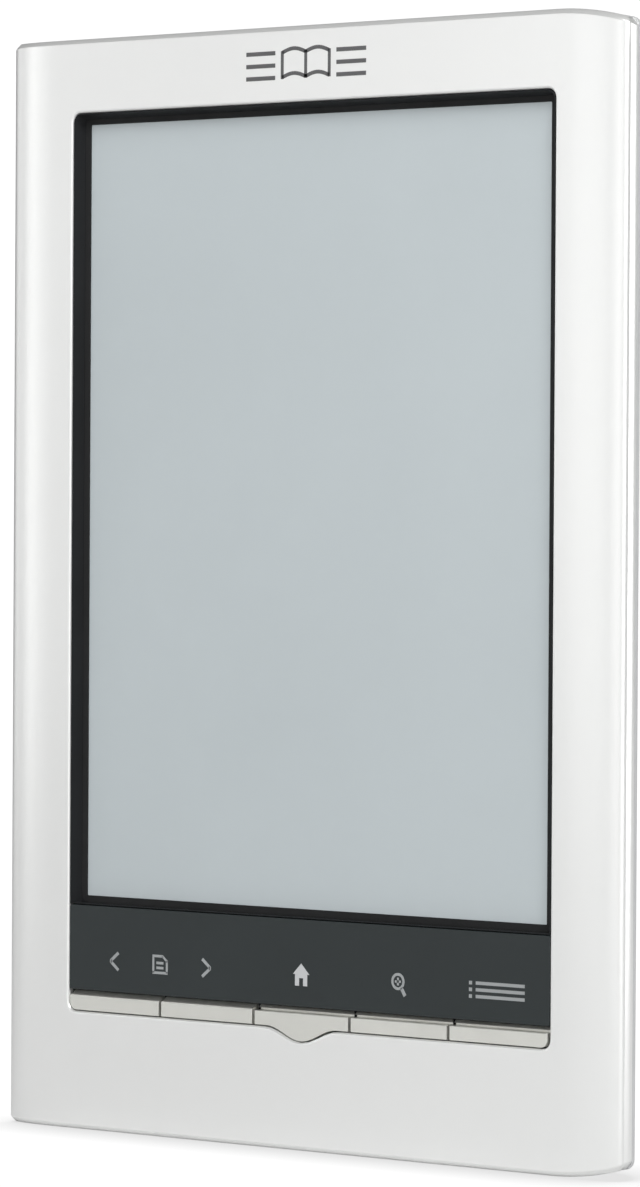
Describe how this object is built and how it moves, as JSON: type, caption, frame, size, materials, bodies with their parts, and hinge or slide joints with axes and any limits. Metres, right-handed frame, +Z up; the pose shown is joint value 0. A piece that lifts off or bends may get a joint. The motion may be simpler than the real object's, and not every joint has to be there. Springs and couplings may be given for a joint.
{
  "type": "e-reader",
  "caption": "Pocket e-reader with a silver metal front, a recessed paper-like touch screen, a dark label strip over a row of push buttons, and a stylus kept in its side.",
  "frame": {"origin": "centre of the footprint, on the bottom end that the reader stands on", "axes": "+X towards the reader's right side, -Y out of the screen, +Z up along its height"},
  "size_m": [0.1046, 0.0092, 0.1454],
  "materials": {
    "shell_aluminium": "satin anodised",
    "cover_plastic": "fine matt silver",
    "infrared_black": "infrared-clear black",
    "strip_black": "printed dark grey",
    "button_metal": "satin",
    "silicone_grey": "matt",
    "board_green": "solder mask",
    "chip_black": "moulded epoxy",
    "flex_amber": "polyimide film",
    "paper_screen": "matt paper-like film",
    "panel_glass": "thin panel glass",
    "foam_black": "foam",
    "steel": "stamped",
    "battery_foil": "laminated pouch",
    "adhesive_white": "double-sided tape",
    "wire_red": "insulated wire",
    "connector_white": "moulded",
    "infrared_parts": "clear epoxy",
    "light_clear": "clear moulded",
    "stylus_silver": "painted silver",
    "tip_grey": "matt"
  },
  "bodies": {
    "reader": {"front_shell": "shell_aluminium", "back_cover": "cover_plastic", "ir_bezel": "infrared_black", "label_strip": "strip_black", "key_membrane": "silicone_grey", "dome_switches": "steel", "key_board": "board_green", "key_flex": "flex_amber", "ink_film": "paper_screen", "display_glass": "panel_glass", "driver_chip": "chip_black", "display_flex": "flex_amber", "display_gasket": "foam_black", "chassis": "steel", "sensor_board_left": "board_green", "sensor_board_top": "board_green", "emitter_board_right": "board_green", "emitter_board_bottom": "board_green", "ir_sensors": "chip_black", "ir_emitters": "infrared_parts", "ir_flex": "flex_amber", "main_board": "board_green", "processor": "chip_black", "memory_chips": "chip_black", "power_chip": "chip_black", "shield_can": "steel", "flex_connectors": "connector_white", "battery": "battery_foil", "battery_board": "board_green", "battery_tape": "adhesive_white", "battery_lead": "wire_red", "battery_plug": "connector_white", "usb_socket_shell": "steel", "usb_socket_tongue": "chip_black", "slide_switch": "steel", "charge_led": "infrared_parts", "light_pipe": "light_clear", "reset_switch": "steel", "stylus_sleeve": "tip_grey", "stylus_detent": "steel", "latch_plates": "steel", "case_screws": "steel", "board_screws": "steel", "cover_screws": "steel"},
    "page_back_button": {"page_back_button": "button_metal"},
    "page_forward_button": {"page_forward_button": "button_metal"},
    "home_button": {"home_button": "button_metal"},
    "zoom_button": {"zoom_button": "button_metal"},
    "options_button": {"options_button": "button_metal"},
    "power_slider": {"power_slider": "button_metal", "switch_actuator": "chip_black"},
    "reset_plunger": {"reset_plunger": "chip_black"},
    "stylus": {"stylus_barrel": "stylus_silver", "stylus_tip": "tip_grey", "stylus_cap": "stylus_silver"}
  },
  "joints": [
    {"name": "page_back_press", "type": "slide", "parent": "reader", "child": "page_back_button", "axis": [0, 1, 0], "range_m": [0, 0.00025], "stiffness_N_per_m": 600},
    {"name": "page_forward_press", "type": "slide", "parent": "reader", "child": "page_forward_button", "axis": [0, 1, 0], "range_m": [0, 0.00025], "stiffness_N_per_m": 600},
    {"name": "home_press", "type": "slide", "parent": "reader", "child": "home_button", "axis": [0, 1, 0], "range_m": [0, 0.00025], "stiffness_N_per_m": 600},
    {"name": "zoom_press", "type": "slide", "parent": "reader", "child": "zoom_button", "axis": [0, 1, 0], "range_m": [0, 0.00025], "stiffness_N_per_m": 600},
    {"name": "options_press", "type": "slide", "parent": "reader", "child": "options_button", "axis": [0, 1, 0], "range_m": [0, 0.00025], "stiffness_N_per_m": 600},
    {"name": "power_slide", "type": "slide", "parent": "reader", "child": "power_slider", "axis": [1, 0, 0], "range_m": [0, 0.0018], "stiffness_N_per_m": 300},
    {"name": "reset_press", "type": "slide", "parent": "reader", "child": "reset_plunger", "axis": [0, 0, 1], "range_m": [0, 0.00025], "stiffness_N_per_m": 600},
    {"name": "stylus_slide", "type": "slide", "parent": "reader", "child": "stylus", "axis": [0, 0, 1], "range_m": [0, 0.096]}
  ]
}
